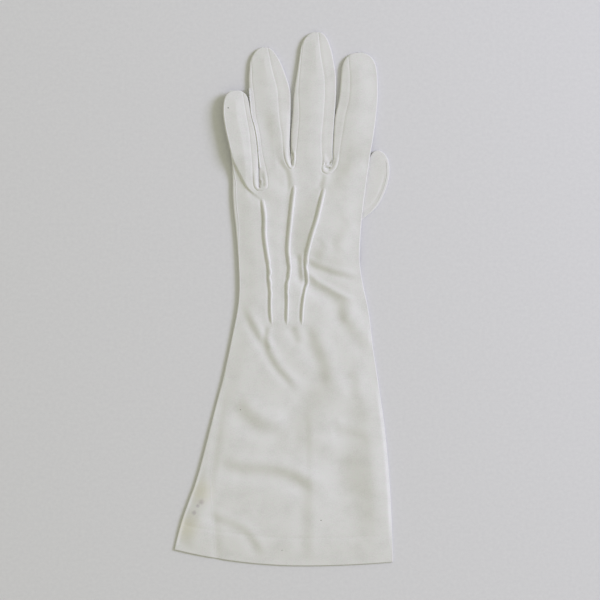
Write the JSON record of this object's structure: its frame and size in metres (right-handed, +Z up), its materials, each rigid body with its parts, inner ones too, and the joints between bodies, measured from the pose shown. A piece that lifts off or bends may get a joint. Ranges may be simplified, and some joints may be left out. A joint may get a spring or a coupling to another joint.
{
  "type": "opera glove",
  "caption": "Above-wrist fabric dress glove for the left hand, lying flat palm down, with set-in thumb, fourchettes, raised points and a turned hem.",
  "frame": {"origin": "middle of the glove outline, on the surface it lies on", "axes": "+Y from hem to fingertips, +X towards the thumb side, +Z up from the palm side through the back of the hand"},
  "size_m": [0.1442, 0.3518, 0.0126],
  "materials": {
    "trank_cloth": "matte",
    "fourchette_cloth": "matte",
    "hem_cloth": "matte",
    "thumb_cloth": "matte",
    "point_ridge": "matte",
    "seam_thread": "matte"
  },
  "bodies": {
    "cuff": {"cuff_sleeve": "trank_cloth", "cuff_side_seam": "seam_thread", "cuff_turned_hem": "hem_cloth", "cuff_hem_stitching": "seam_thread"},
    "hand": {"hand_trank": "trank_cloth", "hand_side_seam": "seam_thread", "point_little_side": "point_ridge", "point_middle": "point_ridge", "point_index_side": "point_ridge", "fork_little_ring": "fourchette_cloth", "fork_ring_middle": "fourchette_cloth", "fork_middle_index": "fourchette_cloth"},
    "thumb": {"thumb_sheath": "thumb_cloth", "thumb_side_seam": "seam_thread", "thumb_hole_seam": "seam_thread"},
    "index_base": {"index_base_trank": "trank_cloth", "index_base_fourchette": "fourchette_cloth"},
    "index_tip": {"index_tip_trank": "trank_cloth", "index_tip_fourchette": "fourchette_cloth"},
    "middle_base": {"middle_base_back": "trank_cloth", "middle_base_palm": "trank_cloth", "middle_base_fourchette_ring_side": "fourchette_cloth", "middle_base_fourchette_index_side": "fourchette_cloth"},
    "middle_tip": {"middle_tip_back": "trank_cloth", "middle_tip_palm": "trank_cloth", "middle_tip_fourchette_ring_side": "fourchette_cloth", "middle_tip_fourchette_index_side": "fourchette_cloth"},
    "ring_base": {"ring_base_back": "trank_cloth", "ring_base_palm": "trank_cloth", "ring_base_fourchette_little_side": "fourchette_cloth", "ring_base_fourchette_middle_side": "fourchette_cloth"},
    "ring_tip": {"ring_tip_back": "trank_cloth", "ring_tip_palm": "trank_cloth", "ring_tip_fourchette_little_side": "fourchette_cloth", "ring_tip_fourchette_middle_side": "fourchette_cloth"},
    "little_base": {"little_base_back": "trank_cloth", "little_base_palm": "trank_cloth", "little_base_fourchette": "fourchette_cloth", "little_base_side_seam": "seam_thread"},
    "little_tip": {"little_tip_back": "trank_cloth", "little_tip_palm": "trank_cloth", "little_tip_fourchette": "fourchette_cloth", "little_tip_side_seam": "seam_thread"}
  },
  "joints": [
    {"name": "wrist_fold", "type": "hinge", "parent": "cuff", "child": "hand", "pos_m": [0.0125, -0.019, 0.00785], "axis": [1, 0, 0], "range_deg": [0, 110]},
    {"name": "index_base_fold", "type": "hinge", "parent": "hand", "child": "index_base", "pos_m": [0.045, 0.0882, 0.009], "axis": [1, 0, 0], "range_deg": [0, 90]},
    {"name": "index_tip_fold", "type": "hinge", "parent": "index_base", "child": "index_tip", "pos_m": [0.0485, 0.126, 0.00625], "axis": [1, 0, 0], "range_deg": [0, 90]},
    {"name": "middle_base_fold", "type": "hinge", "parent": "hand", "child": "middle_base", "pos_m": [0.019, 0.0882, 0.00625], "axis": [1, 0, 0], "range_deg": [0, 90]},
    {"name": "middle_tip_fold", "type": "hinge", "parent": "middle_base", "child": "middle_tip", "pos_m": [0.021, 0.133, 0.00625], "axis": [1, 0, 0], "range_deg": [0, 90]},
    {"name": "ring_base_fold", "type": "hinge", "parent": "hand", "child": "ring_base", "pos_m": [-0.0055, 0.0882, 0.00625], "axis": [1, 0, 0], "range_deg": [0, 90]},
    {"name": "ring_tip_fold", "type": "hinge", "parent": "ring_base", "child": "ring_tip", "pos_m": [-0.0085, 0.128, 0.00625], "axis": [1, 0, 0], "range_deg": [0, 90]},
    {"name": "little_base_fold", "type": "hinge", "parent": "hand", "child": "little_base", "pos_m": [-0.0245, 0.0737, 0.00625], "axis": [1, 0, 0], "range_deg": [0, 90]},
    {"name": "little_tip_fold", "type": "hinge", "parent": "little_base", "child": "little_tip", "pos_m": [-0.027, 0.106, 0.00625], "axis": [1, 0, 0], "range_deg": [0, 90]},
    {"name": "thumb_swing", "type": "hinge", "parent": "hand", "child": "thumb", "pos_m": [0.0375, 0.044, 0.0034], "axis": [0, 0, 1], "range_deg": [-45, 0]}
  ]
}
